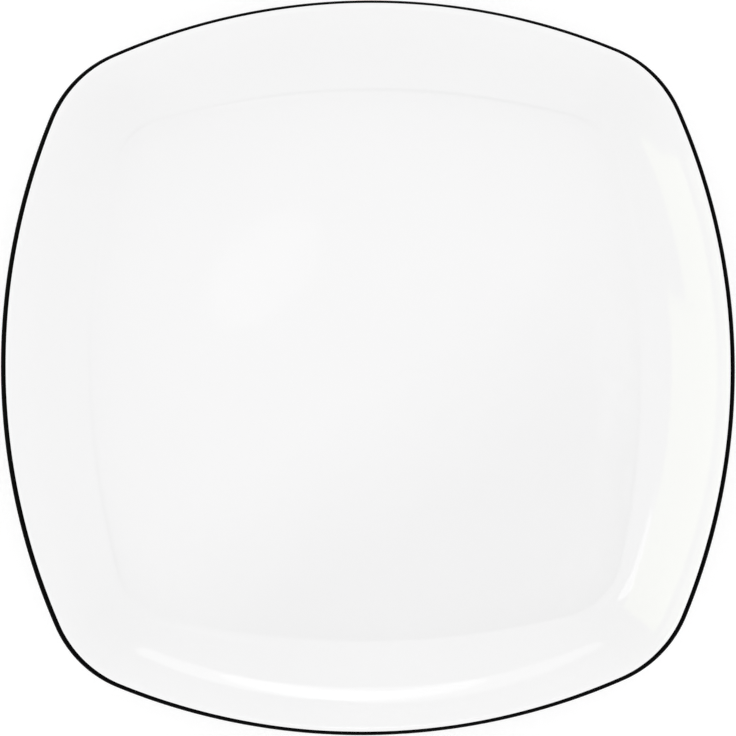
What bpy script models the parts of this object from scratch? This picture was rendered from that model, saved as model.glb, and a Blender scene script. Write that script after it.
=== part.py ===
"""A square breakfast plate of white porcelain, glazed, with a black line fired into its lip.

The plate is a pressed body under three coats of glaze and a band of black colour. Each of them is one section
turned about +Z and then pressed from round to square. A section is drawn through the middle of a side, as
distance from the axis and height above the table. Its depth is how far it lies below the glazed surface.
"""

import math

import bpy

# Outline from above: four long side arcs that run into four corner arcs
OVERALL = 0.225  # across the middles of two opposite sides
SIDE_RADIUS = 0.199
CORNER_RADIUS = 0.036

# Flat floor, squarer than the outline
WELL_WIDTH = 0.168  # between the lines where the walls start to rise
WELL_SIDE_RADIUS = 0.280
WELL_CORNER_RADIUS = 0.022

# Section of the walls and floor
HEIGHT = 0.021
FLOOR_THICKNESS = 0.0044
LIP_THICKNESS = 0.0030

# Foot ring
FOOT_HEIGHT = 0.0026  # clear height under the floor
FOOT_INSET = 0.0080  # from the edge of the floor in to the foot's outer flank
FOOT_LAND = 0.0024  # width of the bare ring that the plate stands on, before its chamfers
FOOT_DRAFT = math.radians(15)
FOOT_FILLET = 0.0010  # where the flanks meet the underside
FOOT_CHAMFER = 0.0003  # along both edges of the bare ring
FOOT_LEDGE = 0.0020  # flat underside between the foot and the rising wall

# Layers
GLAZE = 0.0003
FUSE_GAP = 0.0003  # between a layer and the layer it is fused to
LINE_WIDTH = 0.0010  # of the black line, seen from above
LINE_DROP = 0.0004  # how far the line reaches below the widest part of the lip
BARE_FOOT = 0.0008  # height of the foot that the coats leave bare

# Facets
SIDE_STEPS = 5  # along half a side
CORNER_STEPS = 3  # along half a corner
WALL_STEPS = 8
LIP_STEPS = 3
LINE_STEPS = 5
FILLET_STEPS = 2
SMOOTH_ANGLE = math.radians(40)  # facets that meet at less than this are shaded as one surface

# Derived places in the section
HALF = OVERALL / 2
WELL_HALF = WELL_WIDTH / 2
WALL_RUN = HALF - WELL_HALF
UNDERSIDE = FOOT_HEIGHT
FLOOR = FOOT_HEIGHT + FLOOR_THICKNESS
BODY_DEPTH = GLAZE + FUSE_GAP
LIP_RADIUS = LIP_THICKNESS / 2
LIP_CENTRE = (HALF - LIP_RADIUS, HEIGHT - LIP_RADIUS)
FOOT_OUTER = WELL_HALF - FOOT_INSET
FOOT_INNER = FOOT_OUTER - FOOT_LAND - 2 * BODY_DEPTH / math.cos(FOOT_DRAFT)
FILLET_REACH = (UNDERSIDE - FOOT_FILLET) * math.tan(FOOT_DRAFT) + FOOT_FILLET / math.cos(FOOT_DRAFT)
BACK_START = FOOT_OUTER + FILLET_REACH + FOOT_LEDGE

# Face wall: an arc that leaves the floor level and runs into the lip from above
FACE_RUN = LIP_CENTRE[0] - WELL_HALF
FACE_RISE = HEIGHT - FLOOR
FACE_RADIUS = (FACE_RUN**2 + FACE_RISE**2) / (2 * FACE_RISE) - LIP_RADIUS
FACE_SLOPE = 2 * math.atan2(FACE_RISE, FACE_RUN)

# Back wall: an arc that leaves the underside level and runs into the lip from below
BACK_RUN = LIP_CENTRE[0] - BACK_START
BACK_RISE = HEIGHT - LIP_THICKNESS - UNDERSIDE
BACK_RADIUS = (BACK_RUN**2 + BACK_RISE**2) / (2 * BACK_RISE) + LIP_RADIUS
BACK_SLOPE = 2 * math.atan2(BACK_RISE, BACK_RUN)

# Angles about the lip's centre, from straight out, where the line's edges and the walls lie
LINE_TOP = math.acos(1 - LINE_WIDTH / LIP_RADIUS)
LINE_FOOT = -math.asin(LINE_DROP / LIP_RADIUS)
LIP_TOP = math.pi / 2 + FACE_SLOPE
LIP_FOOT = BACK_SLOPE - math.pi / 2
LINE_GAP = FUSE_GAP / LIP_RADIUS

# Turning: eight half sides and eight half corners make up the whole turn
TURN_STEPS = 8 * (SIDE_STEPS + CORNER_STEPS)
SIDE_SHARE = SIDE_STEPS / (SIDE_STEPS + CORNER_STEPS)
AXIS = 0.0
MERGE = 0.00001

WHITE_GLAZE = ((0.87, 0.87, 0.86, 1.0), 0.08)
BLACK_COLOUR = ((0.012, 0.012, 0.013, 1.0), 0.14)
BARE_PORCELAIN = ((0.78, 0.76, 0.71, 1.0), 0.62)


def arc(centre, radius, start, end, steps):
    """Points along an arc in the section, both ends included."""
    turn = (end - start) / steps
    angles = [start + turn * step for step in range(steps + 1)]
    return [
        (centre[0] + radius * math.cos(angle), centre[1] + radius * math.sin(angle))
        for angle in angles
    ]


def floor_and_wall(depth):
    """The eating face, from the axis to where the wall meets the lip."""
    centre = (WELL_HALF, FLOOR + FACE_RADIUS)
    down = -math.pi / 2
    wall = arc(centre, FACE_RADIUS + depth, down, down + FACE_SLOPE, WALL_STEPS)
    return [(AXIS, FLOOR - depth)] + wall


def lip(depth, start, end, steps):
    """Part of the round lip, over the top and down the outside."""
    return arc(LIP_CENTRE, LIP_RADIUS - depth, start, end, steps)


def back_wall(depth):
    """The back, from the lip down to where the underside is level."""
    centre = (BACK_START, UNDERSIDE + BACK_RADIUS)
    down = -math.pi / 2
    return arc(centre, BACK_RADIUS - depth, down + BACK_SLOPE, down, WALL_STEPS)


def flank_shift(depth):
    """How far a flank of the foot moves in along the table for this depth."""
    return depth / math.cos(FOOT_DRAFT)


def outer_flank(depth, end):
    """The foot's outer side, from its fillet under the ledge down to height `end`."""
    centre = (FOOT_OUTER + FILLET_REACH, UNDERSIDE - FOOT_FILLET)
    fillet = arc(centre, FOOT_FILLET + depth, math.pi / 2, math.pi - FOOT_DRAFT, FILLET_STEPS)
    foot = FOOT_OUTER + end * math.tan(FOOT_DRAFT) - flank_shift(depth)
    return fillet + [(foot, end)]


def inner_flank(depth, end):
    """The foot's inner side, from height `end` up through its fillet to the axis."""
    centre = (FOOT_INNER - FILLET_REACH, UNDERSIDE - FOOT_FILLET)
    foot = FOOT_INNER - end * math.tan(FOOT_DRAFT) + flank_shift(depth)
    fillet = arc(centre, FOOT_FILLET + depth, FOOT_DRAFT, math.pi / 2, FILLET_STEPS)
    return [(foot, end)] + fillet + [(AXIS, UNDERSIDE + depth)]


def bare_ring():
    """The ground ring that the plate stands on, between its two chamfers."""
    outer = FOOT_OUTER - flank_shift(BODY_DEPTH) - FOOT_CHAMFER
    inner = FOOT_INNER + flank_shift(BODY_DEPTH) + FOOT_CHAMFER
    return [(outer, 0.0), (inner, 0.0)]


def coat(strip):
    """Section of a coat: its glazed side, then its underside on the way back."""
    return strip(0.0) + strip(GLAZE)[::-1]


def body_section():
    lip_steps = LIP_STEPS + LINE_STEPS
    return (
        floor_and_wall(BODY_DEPTH)
        + lip(BODY_DEPTH, LIP_TOP, LIP_FOOT, lip_steps)[1:-1]
        + back_wall(BODY_DEPTH)
        + outer_flank(BODY_DEPTH, FOOT_CHAMFER)
        + bare_ring()
        + inner_flank(BODY_DEPTH, FOOT_CHAMFER)
    )


def face_strip(depth):
    return floor_and_wall(depth) + lip(depth, LIP_TOP, LINE_TOP + LINE_GAP, LIP_STEPS)[1:]


def line_strip(depth):
    return lip(depth, LINE_TOP, LINE_FOOT, LINE_STEPS)


def back_strip(depth):
    lip_part = lip(depth, LINE_FOOT - LINE_GAP, LIP_FOOT, LIP_STEPS)[:-1]
    return lip_part + back_wall(depth) + outer_flank(depth, BARE_FOOT)


def foot_well_strip(depth):
    return inner_flank(depth, BARE_FOOT)


def level_radii(distance):
    """Side and corner radius of the level line whose sides pass this far from the axis."""
    if distance <= WELL_HALF:
        scale = distance / WELL_HALF
        return WELL_SIDE_RADIUS * scale, WELL_CORNER_RADIUS * scale
    inset = HALF - distance
    ease = (inset / WALL_RUN) ** 2
    bend_change = 1 / WELL_SIDE_RADIUS - 1 / (SIDE_RADIUS - WALL_RUN)
    corner_change = WELL_CORNER_RADIUS - (CORNER_RADIUS - WALL_RUN)
    side = 1 / (1 / (SIDE_RADIUS - inset) + ease * bend_change)
    corner = CORNER_RADIUS - inset + ease * corner_change
    return side, corner


def pressed_square(distance, angle):
    """Where a point turned to this distance and angle lies once the round is pressed square."""
    if distance < MERGE:
        return 0.0, 0.0
    side, corner = level_radii(distance)
    side_centre = distance - side
    corner_centre = (side_centre + math.sqrt(2 * (side - corner) ** 2 - side_centre**2)) / 2
    meeting = math.atan2(corner_centre, corner_centre - side_centre)

    quarter = round(angle / (math.pi / 2)) * math.pi / 2
    share = abs(angle - quarter) / (math.pi / 4)
    if share <= SIDE_SHARE:
        bend = meeting * share / SIDE_SHARE
        out = side_centre + side * math.cos(bend)
        along = side * math.sin(bend)
    else:
        bend = meeting + (math.pi / 4 - meeting) * (share - SIDE_SHARE) / (1 - SIDE_SHARE)
        out = corner_centre + corner * math.cos(bend)
        along = corner_centre + corner * math.sin(bend)
    along = math.copysign(along, angle - quarter)
    x = out * math.cos(quarter) - along * math.sin(quarter)
    y = out * math.sin(quarter) + along * math.cos(quarter)
    return x, y


def turned(name, section):
    """A mesh object with the section turned once about +Z."""
    corners = [(distance, 0.0, height) for distance, height in section]
    loop = [(start, (start + 1) % len(corners)) for start in range(len(corners))]
    edges = [pair for pair in loop if any(corners[end][0] > MERGE for end in pair)]
    mesh = bpy.data.meshes.new(name)
    mesh.from_pydata(corners, edges, [])
    piece = bpy.data.objects.new(name, mesh)
    screw = piece.modifiers.new("turn", "SCREW")
    screw.axis = "Z"
    screw.steps = TURN_STEPS
    screw.render_steps = screw.steps
    screw.use_merge_vertices = True
    screw.merge_threshold = MERGE
    return piece


def layer(name, section, material, plate, collection):
    """One layer of the plate: its section turned, pressed square and hung on the plate's own empty."""
    piece = turned(name, section)
    collection.objects.link(piece)
    bpy.context.view_layer.update()
    evaluated = piece.evaluated_get(bpy.context.evaluated_depsgraph_get())
    mesh = bpy.data.meshes.new_from_object(evaluated)
    piece.modifiers.clear()
    piece.data = mesh
    mesh.name = name
    for vertex in mesh.vertices:
        x, y, height = vertex.co
        vertex.co = (*pressed_square(math.hypot(x, y), math.atan2(y, x)), height)
    mesh.materials.clear()
    mesh.materials.append(material)
    mesh.shade_smooth()
    mesh.set_sharp_from_angle(angle=SMOOTH_ANGLE)
    piece.parent = plate


def finish(name, colour, roughness):
    material = bpy.data.materials.new(name)
    material.use_nodes = True
    material.diffuse_color = colour
    shader = material.node_tree.nodes["Principled BSDF"]
    shader.inputs["Base Color"].default_value = colour
    shader.inputs["Roughness"].default_value = roughness
    shader.inputs["Metallic"].default_value = 0.0
    return material


def main():
    for old in list(bpy.data.objects):
        bpy.data.objects.remove(old, do_unlink=True)
    collection = bpy.data.collections.new("square_breakfast_plate")
    bpy.context.scene.collection.children.link(collection)
    plate = bpy.data.objects.new("plate", None)
    collection.objects.link(plate)

    white = finish("white_glaze", *WHITE_GLAZE)
    black = finish("black_line", *BLACK_COLOUR)
    bare = finish("bare_porcelain", *BARE_PORCELAIN)
    layer("porcelain_body", body_section(), bare, plate, collection)
    layer("face_glaze", coat(face_strip), white, plate, collection)
    layer("rim_line", coat(line_strip), black, plate, collection)
    layer("back_glaze", coat(back_strip), white, plate, collection)
    layer("foot_well_glaze", coat(foot_well_strip), white, plate, collection)


main()
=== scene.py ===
"""Dresses the square breakfast plate: glazed white porcelain with a black line banded round its lip.

Each layer of the plate is a section turned about its axis, and a node tree then presses the turned round
to the plate's square. The tree also lets the black line swell and thin as a bander's brush leaves it.
"""

import math

import bpy
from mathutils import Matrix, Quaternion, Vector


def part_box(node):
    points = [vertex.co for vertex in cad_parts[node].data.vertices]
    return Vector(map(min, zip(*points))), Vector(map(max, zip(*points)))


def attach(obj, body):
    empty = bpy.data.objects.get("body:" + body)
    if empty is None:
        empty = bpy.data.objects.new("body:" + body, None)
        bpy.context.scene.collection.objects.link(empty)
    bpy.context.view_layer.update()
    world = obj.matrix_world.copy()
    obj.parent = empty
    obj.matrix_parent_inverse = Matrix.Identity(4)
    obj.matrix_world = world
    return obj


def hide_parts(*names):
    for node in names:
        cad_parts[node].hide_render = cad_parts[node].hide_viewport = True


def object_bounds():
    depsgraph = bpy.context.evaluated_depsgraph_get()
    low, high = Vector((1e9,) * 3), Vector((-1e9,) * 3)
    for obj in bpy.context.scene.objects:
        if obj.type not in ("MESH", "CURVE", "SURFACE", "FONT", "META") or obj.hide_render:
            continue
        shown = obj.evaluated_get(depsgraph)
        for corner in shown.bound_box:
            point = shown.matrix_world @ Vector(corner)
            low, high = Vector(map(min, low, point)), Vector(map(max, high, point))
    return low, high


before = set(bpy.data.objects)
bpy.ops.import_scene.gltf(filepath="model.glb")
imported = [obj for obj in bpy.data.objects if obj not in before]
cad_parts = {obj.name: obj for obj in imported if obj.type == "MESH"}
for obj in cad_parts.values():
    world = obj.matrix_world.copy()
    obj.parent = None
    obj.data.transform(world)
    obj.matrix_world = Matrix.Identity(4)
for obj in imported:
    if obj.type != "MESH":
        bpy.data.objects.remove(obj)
CAD_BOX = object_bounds()

# Plate, from the frame (metres)
GLAZE = 0.0003  # thickness of a coat
OVERALL = CAD_BOX[1].x - CAD_BOX[0].x
HEIGHT = CAD_BOX[1].z
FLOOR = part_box("face_glaze")[0].z + GLAZE
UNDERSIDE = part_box("foot_well_glaze")[1].z - GLAZE
BARE_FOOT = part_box("back_glaze")[0].z

# Outline and floor
SIDE_RADIUS = 0.199
CORNER_RADIUS = 0.036
WELL_WIDTH = 0.168
WELL_SIDE_RADIUS = 0.280
WELL_CORNER_RADIUS = 0.022

# Lip and foot ring
LIP_THICKNESS = 0.0030
FOOT_INSET = 0.0080  # of the foot's outside from the edge of the floor
FOOT_RING = 0.0036  # width of the glazed foot where it would meet the table
FOOT_DRAFT = math.radians(15)
FOOT_FILLET = 0.0010
FOOT_ROUND = 0.0004  # worn edges of the bare ring
FOOT_LEDGE = 0.0020  # level stretch between the foot and the back wall
FUSED = 0.9 * GLAZE  # depth of the body below a coat's face: less than the coat, which leaves no slit

# Black line
LINE_WIDTH = 0.00142  # in plan, on average
LINE_DROP = 0.0004  # below the widest part of the lip
LINE_SWAY = 0.13  # thicker towards the near left, as a share of the width
LINE_SWAY_TURN = math.radians(-118)
LINE_SIDES = 0.17  # thicker on the left and right than at the far and near side
LINE_CORNERS = 0.055  # thicker round the corners
LINE_TREMBLE = 0.04  # of the brush
LINE_TREMBLES = 60.0  # noise cells to the metre

# Kiln drift: how far the fired plate is from its true shape, as shares of the distance from its middle
KILN_DRAW = 0.0015  # drawn out along one diagonal
KILN_DRAW_TURN = math.radians(55)
KILN_PULL = 0.0009  # pulled out at three places
KILN_PULL_TURN = math.radians(-6)

# Steps
SIDE_STEPS = 36  # along half a side
CORNER_STEPS = 20  # along half a corner
FLOOR_STEPS = 8
WALL_STEPS = 44
LIP_STEPS = 10
LINE_STEPS = 14
FOOT_STEPS = 6
BEAD_STEPS = 4

# Derived places in the section
HALF = OVERALL / 2
WELL_HALF = WELL_WIDTH / 2
LIP_RADIUS = LIP_THICKNESS / 2
LIP_CENTRE = (HALF - LIP_RADIUS, HEIGHT - LIP_RADIUS)
FOOT_OUTER = WELL_HALF - FOOT_INSET
FOOT_INNER = FOOT_OUTER - FOOT_RING
FILLET_REACH = (UNDERSIDE - FOOT_FILLET) * math.tan(FOOT_DRAFT) + FOOT_FILLET / math.cos(FOOT_DRAFT)
BACK_START = FOOT_OUTER + FILLET_REACH + FOOT_LEDGE
FACE_RUN = LIP_CENTRE[0] - WELL_HALF
FACE_RISE = HEIGHT - FLOOR
FACE_RADIUS = (FACE_RUN**2 + FACE_RISE**2) / (2 * FACE_RISE) - LIP_RADIUS
FACE_SLOPE = 2 * math.atan2(FACE_RISE, FACE_RUN)
BACK_RUN = LIP_CENTRE[0] - BACK_START
BACK_RISE = HEIGHT - LIP_THICKNESS - UNDERSIDE
BACK_RADIUS = (BACK_RUN**2 + BACK_RISE**2) / (2 * BACK_RISE) + LIP_RADIUS
BACK_SLOPE = 2 * math.atan2(BACK_RISE, BACK_RUN)
LINE_TOP = math.acos(1 - LINE_WIDTH / LIP_RADIUS)
LINE_FOOT = -math.asin(LINE_DROP / LIP_RADIUS)
LIP_TOP = math.pi / 2 + FACE_SLOPE
LIP_FOOT = BACK_SLOPE - math.pi / 2
DOWN = -math.pi / 2
AXIS = 0.0
MERGE = 0.000001  # points nearer than this are one
SHARP = math.radians(50)  # edges that turn by more than this stay crisp
FOLLOW = "line_follow"  # how far a point of the lip goes along with the line's inner edge

# Camera: straight over the plate, on a long lens
LENS_MM = 150.0
SENSOR_MM = 36.0
IMAGE_PX = 736
PLATE_PX = 734.4  # width of the plate in the image
PLATE_SHIFT_PX = (-0.45, 0.13)  # of the plate's middle from the image's, right and up
PLATE_ROLL = 0.0126  # the plate's turn in the image, anticlockwise

# Stage and light
TABLE_SIZE = 8.0
TABLE_COLOUR = (0.65, 0.65, 0.65, 1.0)
TABLE_GLOW = 0.45  # added where the camera or a reflection sees the table
ROOM_LIGHT = 0.840  # overhead
WALL_LIGHT = 0.45  # added towards the room's walls
HATCH_SIZE = (0.080, 0.090)  # the opening that the camera looks through, as sines seen from the plate
HATCH_EDGE = 0.08  # share of its size over which it fades out
SHADE_TURN = math.radians(-56)  # the opening is darker towards the near right
SHADE_START = 0.004  # where the shade begins, as a sine from straight up
SHADE_REACH = 0.047  # how far it takes to become full
LAMP_DISTANCE = 1.4
WINDOW_DISTANCE = 1.6
WINDOW_LIGHT = 0.96
WINDOW_COLOUR = (0.85, 1.0, 0.45)
HORIZON = 90  # degrees from straight up


class Field:
    """A value that varies over a surface: arithmetic on it adds math nodes to its tree."""

    def __init__(self, tree, socket):
        self.tree = tree
        self.socket = socket

    def math(self, operation, *others):
        node = self.tree.nodes.new("ShaderNodeMath")
        node.operation = operation
        for place, value in zip(node.inputs, (self, *others)):
            if isinstance(value, Field):
                self.tree.links.new(value.socket, place)
            else:
                place.default_value = value
        return Field(self.tree, node.outputs[0])

    def __add__(self, other):
        return self.math("ADD", other)

    def __sub__(self, other):
        return self.math("SUBTRACT", other)

    def __mul__(self, other):
        return self.math("MULTIPLY", other)

    def __truediv__(self, other):
        return self.math("DIVIDE", other)

    def squared(self):
        return self * self

    def clamped(self):
        return self.math("MAXIMUM", 0.0).math("MINIMUM", 1.0)

    def inverse(self):
        return self.math("POWER", -1.0)

    def root(self):
        return self.math("SQRT")

    def cos(self):
        return self.math("COSINE")

    def sin(self):
        return self.math("SINE")

    def choose(self, if_one, if_zero):
        """if_one where this is 1 and if_zero where it is 0."""
        return if_zero + (if_one - if_zero) * self


# Sections: lists of (distance from the axis, height, follow), clockwise round a layer's outline


def arc(centre, radius, start, end, steps, follow=(0.0, 0.0)):
    """A round stretch, with both ends, along which follow goes from its first value to its second."""
    points = []
    for step in range(steps + 1):
        share = step / steps
        angle = start + (end - start) * share
        distance = centre[0] + radius * math.cos(angle)
        height = centre[1] + radius * math.sin(angle)
        points.append((distance, height, follow[0] + (follow[1] - follow[0]) * share))
    return points


def level(start, end, height, steps):
    """A level stretch, with both ends."""
    return [(start + (end - start) * step / steps, height, 0.0) for step in range(steps + 1)]


def floor_and_wall(depth):
    centre = (WELL_HALF, FLOOR + FACE_RADIUS)
    flat = level(AXIS, WELL_HALF, FLOOR - depth, FLOOR_STEPS)[:-1]
    return flat + arc(centre, FACE_RADIUS + depth, DOWN, DOWN + FACE_SLOPE, WALL_STEPS)


def lip(depth, start, end, steps, follow=(0.0, 0.0)):
    return arc(LIP_CENTRE, LIP_RADIUS - depth, start, end, steps, follow)


def back_wall(depth):
    centre = (BACK_START, UNDERSIDE + BACK_RADIUS)
    return arc(centre, BACK_RADIUS - depth, DOWN + BACK_SLOPE, DOWN, WALL_STEPS)


def outer_flank(depth, end):
    centre = (FOOT_OUTER + FILLET_REACH, UNDERSIDE - FOOT_FILLET)
    fillet = arc(centre, FOOT_FILLET + depth, math.pi / 2, math.pi - FOOT_DRAFT, FOOT_STEPS)
    foot = FOOT_OUTER + end * math.tan(FOOT_DRAFT) - depth / math.cos(FOOT_DRAFT)
    return fillet + [(foot, end, 0.0)]


def inner_flank(depth, end):
    centre = (FOOT_INNER - FILLET_REACH, UNDERSIDE - FOOT_FILLET)
    foot = FOOT_INNER - end * math.tan(FOOT_DRAFT) + depth / math.cos(FOOT_DRAFT)
    fillet = arc(centre, FOOT_FILLET + depth, FOOT_DRAFT, math.pi / 2, FOOT_STEPS)
    flat = level(centre[0], AXIS, UNDERSIDE + depth, FLOOR_STEPS)[1:]
    return [(foot, end, 0.0)] + fillet + flat


def bare_ring():
    """The foot's worn standing face, between its two rounded edges."""
    shift = FUSED / math.cos(FOOT_DRAFT) + FOOT_ROUND
    outer = (FOOT_OUTER - shift, FOOT_ROUND)
    inner = (FOOT_INNER + shift, FOOT_ROUND)
    return arc(outer, FOOT_ROUND, 0.0, DOWN, FOOT_STEPS) + arc(inner, FOOT_ROUND, DOWN, 2 * DOWN, FOOT_STEPS)


def bead(start, end):
    """The rounded edge where a coat ends on the foot, from one face of the coat to the other."""
    middle = ((start[0] + end[0]) / 2, (start[1] + end[1]) / 2)
    radius = math.hypot(start[0] - end[0], start[1] - end[1]) / 2
    first = math.atan2(start[1] - middle[1], start[0] - middle[0])
    turn = -math.pi if start[0] > end[0] else math.pi
    return arc(middle, radius, first, first + turn, BEAD_STEPS)[1:-1]


def body_section():
    return (
        floor_and_wall(FUSED)
        + lip(FUSED, LIP_TOP, LIP_FOOT, LIP_STEPS + LINE_STEPS)[1:-1]
        + back_wall(FUSED)
        + outer_flank(FUSED, FOOT_ROUND)[:-1]
        + bare_ring()
        + inner_flank(FUSED, FOOT_ROUND)[1:]
    )


def face_section():
    def strip(depth):
        crest = lip(depth, LIP_TOP, LINE_TOP, LIP_STEPS, follow=(0.0, 1.0))
        return floor_and_wall(depth) + crest[1:]

    return strip(0.0) + strip(GLAZE)[::-1]


def line_section():
    def strip(depth):
        return lip(depth, LINE_TOP, LINE_FOOT, LINE_STEPS, follow=(1.0, 0.0))

    return strip(0.0) + strip(GLAZE)[::-1]


def back_section():
    def strip(depth):
        edge = lip(depth, LINE_FOOT, LIP_FOOT, LIP_STEPS)
        return edge[:-1] + back_wall(depth) + outer_flank(depth, BARE_FOOT)

    outside = strip(0.0)
    inside = strip(GLAZE)
    return outside + bead(outside[-1], inside[-1]) + inside[::-1]


def foot_well_section():
    outside = inner_flank(0.0, BARE_FOOT)
    inside = inner_flank(GLAZE, BARE_FOOT)
    return inside[::-1] + bead(inside[0], outside[0]) + outside


# Pressing the turned round to a square

PRESS_SIZES = {
    "Half width": HALF,
    "Side radius": SIDE_RADIUS,
    "Corner radius": CORNER_RADIUS,
    "Floor half width": WELL_HALF,
    "Floor side radius": WELL_SIDE_RADIUS,
    "Floor corner radius": WELL_CORNER_RADIUS,
    "Side share": SIDE_STEPS / (SIDE_STEPS + CORNER_STEPS),
    "Lip radius": LIP_RADIUS,
    "Lip centre distance": LIP_CENTRE[0],
    "Lip centre height": LIP_CENTRE[1],
    "Line width": LINE_WIDTH,
    "Line sway": LINE_SWAY,
    "Line sway turn": LINE_SWAY_TURN,
    "Line sides": LINE_SIDES,
    "Line corners": LINE_CORNERS,
    "Line tremble": LINE_TREMBLE,
    "Kiln draw": KILN_DRAW,
    "Kiln draw turn": KILN_DRAW_TURN,
    "Kiln pull": KILN_PULL,
    "Kiln pull turn": KILN_PULL_TURN,
}


def named_inputs(tree, sizes):
    """Gives the tree an input for each named size, and returns the input node and the sizes as fields."""
    entry = tree.nodes.new("NodeGroupInput")
    for name, value in sizes.items():
        place = tree.interface.new_socket(name, in_out="INPUT", socket_type="NodeSocketFloat")
        place.default_value = value
    return entry, {name: Field(tree, entry.outputs[name]) for name in sizes}


def line_swing(tree, size, angle, position):
    """How far the line's inner edge is turned about the lip's centre from its mean place."""
    noise = tree.nodes.new("ShaderNodeTexNoise")
    noise.inputs["Scale"].default_value = LINE_TREMBLES
    noise.inputs["Detail"].default_value = 2.0
    tree.links.new(position, noise.inputs["Vector"])
    tremble = (Field(tree, noise.outputs[0]) - 0.5) * 2.0 * size["Line tremble"]
    sway = size["Line sway"] * (angle - size["Line sway turn"]).cos()
    sides = size["Line sides"] * (angle * 2.0).cos()
    corners = size["Line corners"] * (angle * 4.0).cos()
    share = sway + sides - corners + tremble + 1.0
    width = size["Line width"] / size["Lip radius"]
    drawn = (width * share * -1.0 + 1.0).math("ARCCOSINE")
    mean = (width * -1.0 + 1.0).math("ARCCOSINE")
    return drawn - mean


def level_radii(size, distance):
    """Side and corner radius of the level line whose sides pass this far from the axis."""
    run = size["Half width"] - size["Floor half width"]
    inset = size["Half width"] - distance
    ease = (inset / run).squared()
    bend_change = size["Floor side radius"].inverse() - (size["Side radius"] - run).inverse()
    corner_change = size["Floor corner radius"] - size["Corner radius"] + run
    wall_side = ((size["Side radius"] - inset).inverse() + ease * bend_change).inverse()
    wall_corner = size["Corner radius"] - inset + ease * corner_change
    scale = distance / size["Floor half width"]
    on_floor = scale.math("LESS_THAN", 1.0)
    side = on_floor.choose(size["Floor side radius"] * scale, wall_side)
    corner = on_floor.choose(size["Floor corner radius"] * scale, wall_corner)
    return side, corner


def pressed(size, distance, angle):
    """Where a point turned to this distance and angle comes to lie in the plate's square."""
    side, corner = level_radii(size, distance)
    side_centre = distance - side
    reach = (side - corner).squared() * 2.0 - side_centre.squared()
    corner_centre = (side_centre + reach.root()) * 0.5
    meeting = corner_centre.math("ARCTAN2", corner_centre - side_centre)

    quarter = (angle / (math.pi / 2)).math("ROUND") * (math.pi / 2)
    offset = angle - quarter
    share = offset.math("ABSOLUTE") / (math.pi / 4)
    on_side = share.math("LESS_THAN", size["Side share"])
    side_bend = meeting * share / size["Side share"]
    corner_share = (share - size["Side share"]) / (size["Side share"] * -1.0 + 1.0)
    corner_bend = meeting + (meeting * -1.0 + math.pi / 4) * corner_share
    out = on_side.choose(side_centre + side * side_bend.cos(), corner_centre + corner * corner_bend.cos())
    along = on_side.choose(side * side_bend.sin(), corner_centre + corner * corner_bend.sin())
    along = along * offset.math("SIGN")
    x = out * quarter.cos() - along * quarter.sin()
    y = out * quarter.sin() + along * quarter.cos()
    return x, y


def kiln_drift(size, angle):
    """The share by which the plate stands out from its true square at each turned angle."""
    draw = size["Kiln draw"] * ((angle - size["Kiln draw turn"]) * 2.0).cos()
    pull = size["Kiln pull"] * ((angle - size["Kiln pull turn"]) * 3.0).cos()
    return draw + pull + 1.0


def press_tree(finish):
    tree = bpy.data.node_groups.new("press_to_square", "GeometryNodeTree")
    tree.interface.new_socket("Turned", in_out="INPUT", socket_type="NodeSocketGeometry")
    entry, size = named_inputs(tree, PRESS_SIZES)
    tree.interface.new_socket("Pressed", in_out="OUTPUT", socket_type="NodeSocketGeometry")

    position = tree.nodes.new("GeometryNodeInputPosition").outputs[0]
    split = tree.nodes.new("ShaderNodeSeparateXYZ")
    tree.links.new(position, split.inputs[0])
    x, y, height = (Field(tree, socket) for socket in split.outputs)
    distance = (x.squared() + y.squared()).root()
    angle = y.math("ARCTAN2", x)

    follow = tree.nodes.new("GeometryNodeInputNamedAttribute")
    follow.inputs["Name"].default_value = FOLLOW
    swing = line_swing(tree, size, angle, position) * Field(tree, follow.outputs["Attribute"])
    out = distance - size["Lip centre distance"]
    up = height - size["Lip centre height"]
    distance = size["Lip centre distance"] + out * swing.cos() - up * swing.sin()
    height = size["Lip centre height"] + out * swing.sin() + up * swing.cos()
    x, y = pressed(size, distance, angle)
    drift = kiln_drift(size, angle)

    join = tree.nodes.new("ShaderNodeCombineXYZ")
    for field, place in zip((x * drift, y * drift, height), join.inputs):
        tree.links.new(field.socket, place)
    place = tree.nodes.new("GeometryNodeSetPosition")
    tree.links.new(entry.outputs["Turned"], place.inputs["Geometry"])
    tree.links.new(join.outputs[0], place.inputs["Position"])
    realize = tree.nodes.new("GeometryNodeRealizeInstances")
    tree.links.new(place.outputs[0], realize.inputs[0])
    dress = tree.nodes.new("GeometryNodeSetMaterial")
    dress.inputs["Material"].default_value = finish
    tree.links.new(realize.outputs[0], dress.inputs["Geometry"])
    exit_node = tree.nodes.new("NodeGroupOutput")
    tree.links.new(dress.outputs[0], exit_node.inputs["Pressed"])
    return tree


def turned_layer(name, section):
    """An object with the section as edges, its follow values and a Screw that turns it."""
    corners = [(distance, 0.0, height) for distance, height, follow in section]
    loop = [(start, (start + 1) % len(corners)) for start in range(len(corners))]
    edges = [pair for pair in loop if any(corners[end][0] > MERGE for end in pair)]
    mesh = bpy.data.meshes.new(name)
    mesh.from_pydata(corners, edges, [])
    values = mesh.attributes.new(FOLLOW, "FLOAT", "POINT")
    values.data.foreach_set("value", [follow for distance, height, follow in section])
    layer = bpy.data.objects.new(name, mesh)
    bpy.context.scene.collection.objects.link(layer)
    screw = layer.modifiers.new("turn", "SCREW")
    screw.axis = "Z"
    screw.steps = 8 * (SIDE_STEPS + CORNER_STEPS)  # four sides and corners, each in two halves
    screw.render_steps = screw.steps
    screw.use_merge_vertices = True
    screw.merge_threshold = MERGE
    return layer


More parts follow.
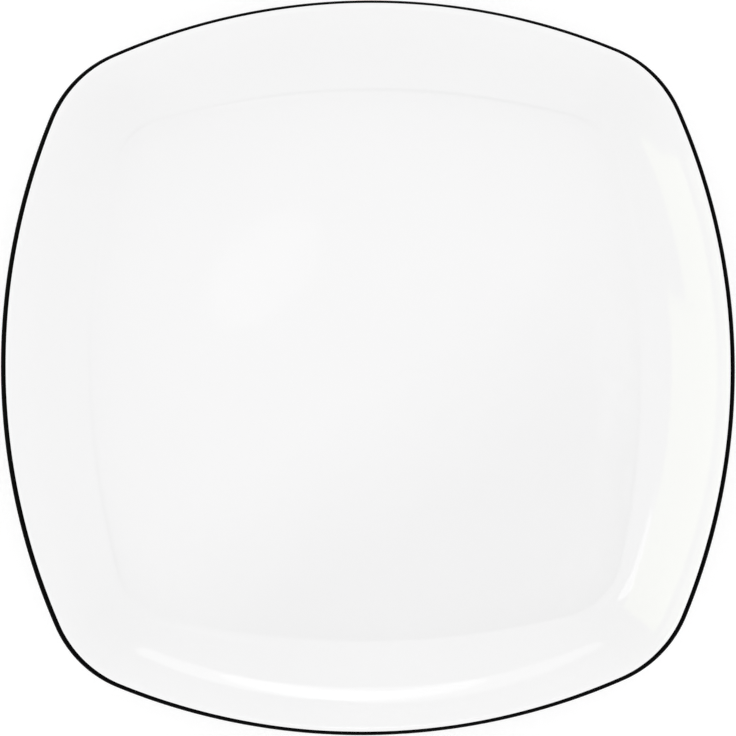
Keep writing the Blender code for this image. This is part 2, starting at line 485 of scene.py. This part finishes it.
def plate_layer(name, section, finish, node):
    """A finished layer of the plate, which stands for its CAD node."""
    layer = turned_layer(name, section)
    press = layer.modifiers.new("press", "NODES")
    press.node_group = press_tree(finish)
    for item in press.node_group.interface.items_tree:
        if item.in_out == "INPUT" and item.name in PRESS_SIZES:
            press[item.identifier] = PRESS_SIZES[item.name]
    bpy.context.view_layer.update()
    evaluated = layer.evaluated_get(bpy.context.evaluated_depsgraph_get())
    mesh = bpy.data.meshes.new_from_object(evaluated)
    layer.modifiers.clear()
    layer.data = mesh
    mesh.name = name
    mesh.shade_smooth()
    mesh.set_sharp_from_angle(angle=SHARP)
    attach(layer, "root")
    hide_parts(node)


# Finishes


class Finish:
    """A Principled material under construction, with its object coordinates."""

    def __init__(self, name):
        self.material = bpy.data.materials.new(name)
        self.material.use_nodes = True
        self.tree = self.material.node_tree
        self.shader = self.tree.nodes["Principled BSDF"]
        self.place = self.tree.nodes.new("ShaderNodeTexCoord").outputs["Object"]

    def set(self, **values):
        for name, value in values.items():
            self.shader.inputs[name.replace("_", " ")].default_value = value

    def noise(self, cells, detail=2.0, roughness=0.5):
        """Noise with so many cells to the metre."""
        node = self.tree.nodes.new("ShaderNodeTexNoise")
        node.inputs["Scale"].default_value = cells
        node.inputs["Detail"].default_value = detail
        node.inputs["Roughness"].default_value = roughness
        self.tree.links.new(self.place, node.inputs["Vector"])
        return Field(self.tree, node.outputs[0])

    def link(self, socket, name):
        self.tree.links.new(socket, self.shader.inputs[name])

    def colour(self, field, *stops):
        """Colours along a field between 0 and 1, as (place, colour) stops."""
        node = self.tree.nodes.new("ShaderNodeValToRGB")
        self.tree.links.new(field.socket, node.inputs[0])
        first, last = node.color_ramp.elements
        first.position, first.color = stops[0]
        last.position, last.color = stops[-1]
        for place, colour in stops[1:-1]:
            node.color_ramp.elements.new(place).color = colour
        self.link(node.outputs[0], "Base Color")

    def roughness(self, field, least, most):
        """Roughness from its least to its most, along a field between 0 and 1."""
        self.link((field * (most - least) + least).socket, "Roughness")

    def bump(self, field, depth):
        """Relief of so many metres from a field between 0 and 1."""
        node = self.tree.nodes.new("ShaderNodeBump")
        node.inputs["Strength"].default_value = 1.0
        node.inputs["Distance"].default_value = depth
        self.tree.links.new(field.socket, node.inputs["Height"])
        self.link(node.outputs[0], "Normal")


def white_glaze():
    finish = Finish("white_glaze")
    clouds = finish.noise(cells=22.0, detail=3.0)
    finish.colour(clouds, (0.3, (0.944, 0.943, 0.945, 1.0)), (0.7, (0.952, 0.951, 0.953, 1.0)))
    finish.roughness(finish.noise(cells=70.0), least=0.03, most=0.06)
    ripple = finish.noise(cells=130.0, detail=1.0)
    fine_ripple = finish.noise(cells=900.0, detail=1.0)
    finish.bump(ripple * 0.8 + fine_ripple * 0.03, depth=0.00002)
    finish.set(IOR=1.5)
    return finish.material


def black_line():
    finish = Finish("black_line")
    strokes = finish.noise(cells=240.0, detail=4.0)
    finish.colour(strokes, (0.3, (0.0006, 0.0006, 0.0007, 1.0)), (0.75, (0.0020, 0.0020, 0.0022, 1.0)))
    finish.roughness(finish.noise(cells=500.0), least=0.30, most=0.44)
    finish.bump(finish.noise(cells=1500.0, detail=3.0), depth=0.000012)
    finish.set(Specular_IOR_Level=0.02)
    return finish.material


def bare_porcelain():
    finish = Finish("bare_porcelain")
    grain = finish.noise(cells=2600.0, detail=4.0, roughness=0.65)
    stain = finish.noise(cells=90.0, detail=3.0)
    finish.colour(
        grain * 0.6 + stain * 0.4,
        (0.30, (0.62, 0.60, 0.55, 1.0)),
        (0.50, (0.76, 0.74, 0.69, 1.0)),
        (0.75, (0.82, 0.80, 0.76, 1.0)),
    )
    finish.roughness(stain, least=0.55, most=0.75)
    finish.bump(grain, depth=0.00006)
    return finish.material


# Stage, light and camera


def soft_room():
    """A white room with lighter walls and a shady opening overhead, plain white where the camera sees it."""
    world = bpy.data.worlds.new("soft_room")
    bpy.context.scene.world = world
    world.use_nodes = True
    tree = world.node_tree
    sky = tree.nodes["Background"]
    sky.inputs["Color"].default_value = (1.0, 1.0, 1.0, 1.0)
    split = tree.nodes.new("ShaderNodeSeparateXYZ")
    tree.links.new(tree.nodes.new("ShaderNodeTexCoord").outputs["Generated"], split.inputs[0])
    x, y, up = (Field(tree, socket) for socket in split.outputs)

    def towards(turn):
        return x * math.cos(turn) + y * math.sin(turn)

    walls = (up * -1.0 + 1.0) * WALL_LIGHT
    edge = (x / HATCH_SIZE[0]).math("POWER", 4.0) + (y / HATCH_SIZE[1]).math("POWER", 4.0)
    hatch = ((edge.root().root() * -1.0 + 1.0) / HATCH_EDGE).clamped() * up.math("GREATER_THAN", 0.0)
    shade = ((towards(SHADE_TURN) - SHADE_START) / SHADE_REACH).clamped()
    open_sky = hatch * shade * -1.0 + 1.0
    path = tree.nodes.new("ShaderNodeLightPath")

    def white_for(light, rays):
        return light + (light * -1.0 + 1.0) * Field(tree, path.outputs[rays])

    light = white_for(walls + ROOM_LIGHT, "Is Glossy Ray")
    light = white_for(light, "Is Transmission Ray")
    strength = white_for(light * open_sky, "Is Camera Ray")
    tree.links.new(strength.socket, sky.inputs["Strength"])


def white_table():
    """A pale floor that keeps the plate's shadow and glows to the eye and to reflections only."""
    mesh = bpy.data.meshes.new("table")
    reach = TABLE_SIZE / 2
    corners = [(-reach, -reach, 0.0), (reach, -reach, 0.0), (reach, reach, 0.0), (-reach, reach, 0.0)]
    mesh.from_pydata(corners, [], [(0, 1, 2, 3)])
    table = bpy.data.objects.new("table", mesh)
    bpy.context.scene.collection.objects.link(table)
    material = bpy.data.materials.new("table_white")
    material.use_nodes = True
    tree = material.node_tree
    tree.nodes.remove(tree.nodes["Principled BSDF"])
    matt = tree.nodes.new("ShaderNodeBsdfDiffuse")
    matt.inputs["Color"].default_value = TABLE_COLOUR
    glow = tree.nodes.new("ShaderNodeEmission")
    path = tree.nodes.new("ShaderNodeLightPath")
    seen = Field(tree, path.outputs["Is Camera Ray"])
    seen = seen.math("MAXIMUM", Field(tree, path.outputs["Is Glossy Ray"]))
    seen = seen.math("MAXIMUM", Field(tree, path.outputs["Is Transmission Ray"]))
    tree.links.new((seen * TABLE_GLOW).socket, glow.inputs["Strength"])
    both = tree.nodes.new("ShaderNodeAddShader")
    tree.links.new(matt.outputs[0], both.inputs[0])
    tree.links.new(glow.outputs[0], both.inputs[1])
    tree.links.new(both.outputs[0], tree.nodes["Material Output"].inputs["Surface"])
    mesh.materials.append(material)


def softbox(name, shape, azimuth, polar, roll, distance, width, height, radiance, colour=(1.0, 1.0, 1.0)):
    """An even field of light that shows in the gloss alone, aimed at the plate from angles in degrees."""
    turn, tilt = math.radians(azimuth), math.radians(polar)
    area = width * height * (math.pi / 4 if shape == "ELLIPSE" else 1.0)
    lamp = bpy.data.lights.new(name, "AREA")
    lamp.shape = shape
    lamp.size = width
    lamp.size_y = height
    lamp.energy = radiance * math.pi * area
    lamp.color = colour
    box = bpy.data.objects.new(name, lamp)
    box.location = (
        distance * math.sin(tilt) * math.cos(turn),
        distance * math.sin(tilt) * math.sin(turn),
        distance * math.cos(tilt),
    )
    aim = (-box.location).to_track_quat("-Z", "Y")
    box.rotation_euler = (aim @ Quaternion((0.0, 0.0, 1.0), math.radians(roll))).to_euler()
    box.visible_camera = False
    box.visible_diffuse = False
    bpy.context.scene.collection.objects.link(box)


def oval_lamp(name, azimuth, polar, roll, width, height, radiance):
    softbox(name, "ELLIPSE", azimuth, polar, roll, LAMP_DISTANCE, width, height, radiance)


def upright_window(name, azimuth, width, height):
    """A tinted window of which the lower half lies below the table."""
    softbox(
        name, "RECTANGLE", azimuth, HORIZON, 0, WINDOW_DISTANCE, width, height, WINDOW_LIGHT, WINDOW_COLOUR
    )


def mirrored_lights():
    """The lamps and windows that the glaze mirrors; the room alone lights the plate."""
    oval_lamp("far_lamp", azimuth=89, polar=56, roll=0, width=0.37, height=0.43, radiance=1.1)
    oval_lamp("far_right_lamp", azimuth=81.7, polar=57.6, roll=18, width=0.48, height=0.37, radiance=1.2)
    oval_lamp("far_left_lamp", azimuth=97, polar=60, roll=-30, width=0.41, height=0.46, radiance=0.85)
    oval_lamp("left_lamp", azimuth=162, polar=21.5, roll=22, width=0.23, height=0.42, radiance=1.8)
    oval_lamp("high_lamp", azimuth=136, polar=4.5, roll=0, width=0.105, height=0.06, radiance=0.4)
    upright_window("tall_window", azimuth=163, width=1.23, height=5.6)
    upright_window("low_window", azimuth=190, width=0.33, height=2.5)


def overhead_camera():
    data = bpy.data.cameras.new("overhead")
    data.lens = LENS_MM
    data.sensor_width = SENSOR_MM
    camera = bpy.data.objects.new("overhead", data)
    metres_per_px = OVERALL / PLATE_PX
    distance = metres_per_px * IMAGE_PX * LENS_MM / SENSOR_MM
    right, up = (-shift * metres_per_px for shift in PLATE_SHIFT_PX)
    camera.location = (right, up, LIP_CENTRE[1] + distance)
    camera.rotation_euler = (0.0, 0.0, -PLATE_ROLL)
    bpy.context.scene.collection.objects.link(camera)
    bpy.context.scene.camera = camera


def main():
    bpy.context.scene.view_settings.view_transform = "Standard"
    white, black, bare = white_glaze(), black_line(), bare_porcelain()
    plate_layer("pressed_body", body_section(), bare, "porcelain_body")
    plate_layer("face_coat", face_section(), white, "face_glaze")
    plate_layer("banded_line", line_section(), black, "rim_line")
    plate_layer("back_coat", back_section(), white, "back_glaze")
    plate_layer("foot_well_coat", foot_well_section(), white, "foot_well_glaze")
    soft_room()
    white_table()
    mirrored_lights()
    overhead_camera()


main()
